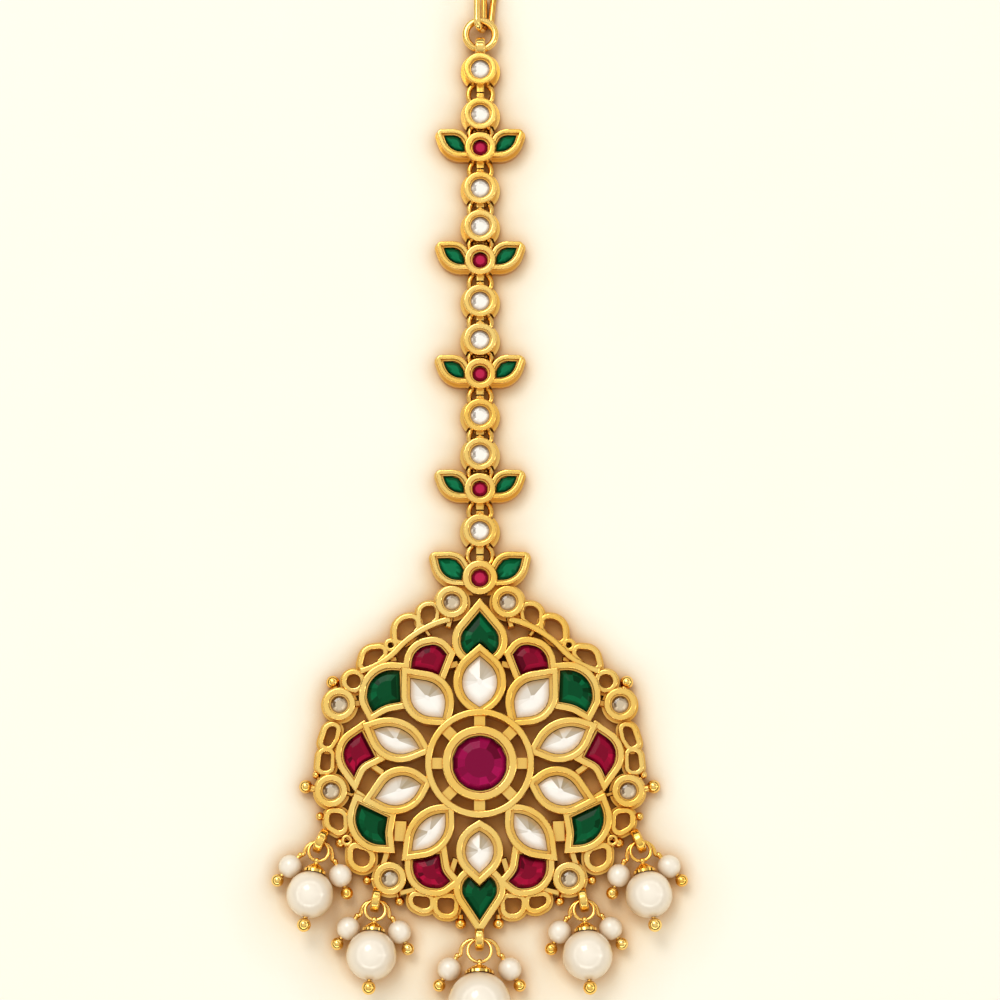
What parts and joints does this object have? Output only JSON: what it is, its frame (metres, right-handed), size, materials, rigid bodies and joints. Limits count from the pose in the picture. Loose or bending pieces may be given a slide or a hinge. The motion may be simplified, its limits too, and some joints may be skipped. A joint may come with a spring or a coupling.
{
  "type": "maang tikka",
  "caption": "Forehead jewel: a wire hair hook, a chain of stone-set links and a pierced round pendant set with rubies, emeralds and white stones, with pearl drops below.",
  "frame": {"origin": "middle of the jewel's footprint, on the surface that it lies on", "axes": "+Y up the chain to the hair hook, +X to the jewel's right as it is looked at, +Z out of its front"},
  "size_m": [0.053, 0.1498, 0.008],
  "materials": {
    "satin_gold": "satin, with brighter rims",
    "polished_gold": "polished",
    "ruby": "cut and polished",
    "emerald": "cut and polished",
    "white_stone": "cut and polished, foil backed",
    "pearl": "pearl lustre"
  },
  "bodies": {
    "root": {"pendant_frame": "satin_gold", "stone_link_1": "satin_gold", "stone_link_2": "satin_gold", "stone_link_3": "satin_gold", "stone_link_4": "satin_gold", "stone_link_5": "satin_gold", "stone_link_6": "satin_gold", "stone_link_7": "satin_gold", "stone_link_8": "satin_gold", "stone_link_9": "satin_gold", "flower_link_1": "satin_gold", "flower_link_2": "satin_gold", "flower_link_3": "satin_gold", "flower_link_4": "satin_gold", "hair_hook": "polished_gold", "jump_rings": "polished_gold", "drop_arch_center": "polished_gold", "drop_arch_inner_right": "polished_gold", "drop_arch_inner_left": "polished_gold", "drop_arch_outer_right": "polished_gold", "drop_arch_outer_left": "polished_gold", "pearl_pin_center": "polished_gold", "pearl_pin_inner_right": "polished_gold", "pearl_pin_inner_left": "polished_gold", "pearl_pin_outer_right": "polished_gold", "pearl_pin_outer_left": "polished_gold", "center_ruby": "ruby", "flower_rubies": "ruby", "ruby_upper_right": "ruby", "ruby_upper_left": "ruby", "ruby_side_right": "ruby", "ruby_side_left": "ruby", "ruby_lower_right": "ruby", "ruby_lower_left": "ruby", "leaf_emeralds": "emerald", "emerald_upper_right": "emerald", "emerald_upper_left": "emerald", "emerald_lower_right": "emerald", "emerald_lower_left": "emerald", "emerald_drop_top": "emerald", "emerald_drop_bottom": "emerald", "petal_stone_top": "white_stone", "petal_stone_bottom": "white_stone", "petal_stone_upper_right": "white_stone", "petal_stone_upper_left": "white_stone", "petal_stone_high_right": "white_stone", "petal_stone_high_left": "white_stone", "petal_stone_low_right": "white_stone", "petal_stone_low_left": "white_stone", "petal_stone_lower_right": "white_stone", "petal_stone_lower_left": "white_stone", "rim_stones": "white_stone", "link_stones": "white_stone", "big_pearl_center": "pearl", "big_pearl_inner_right": "pearl", "big_pearl_inner_left": "pearl", "big_pearl_outer_right": "pearl", "big_pearl_outer_left": "pearl", "small_pearls": "pearl"}
  },
  "joints": []
}
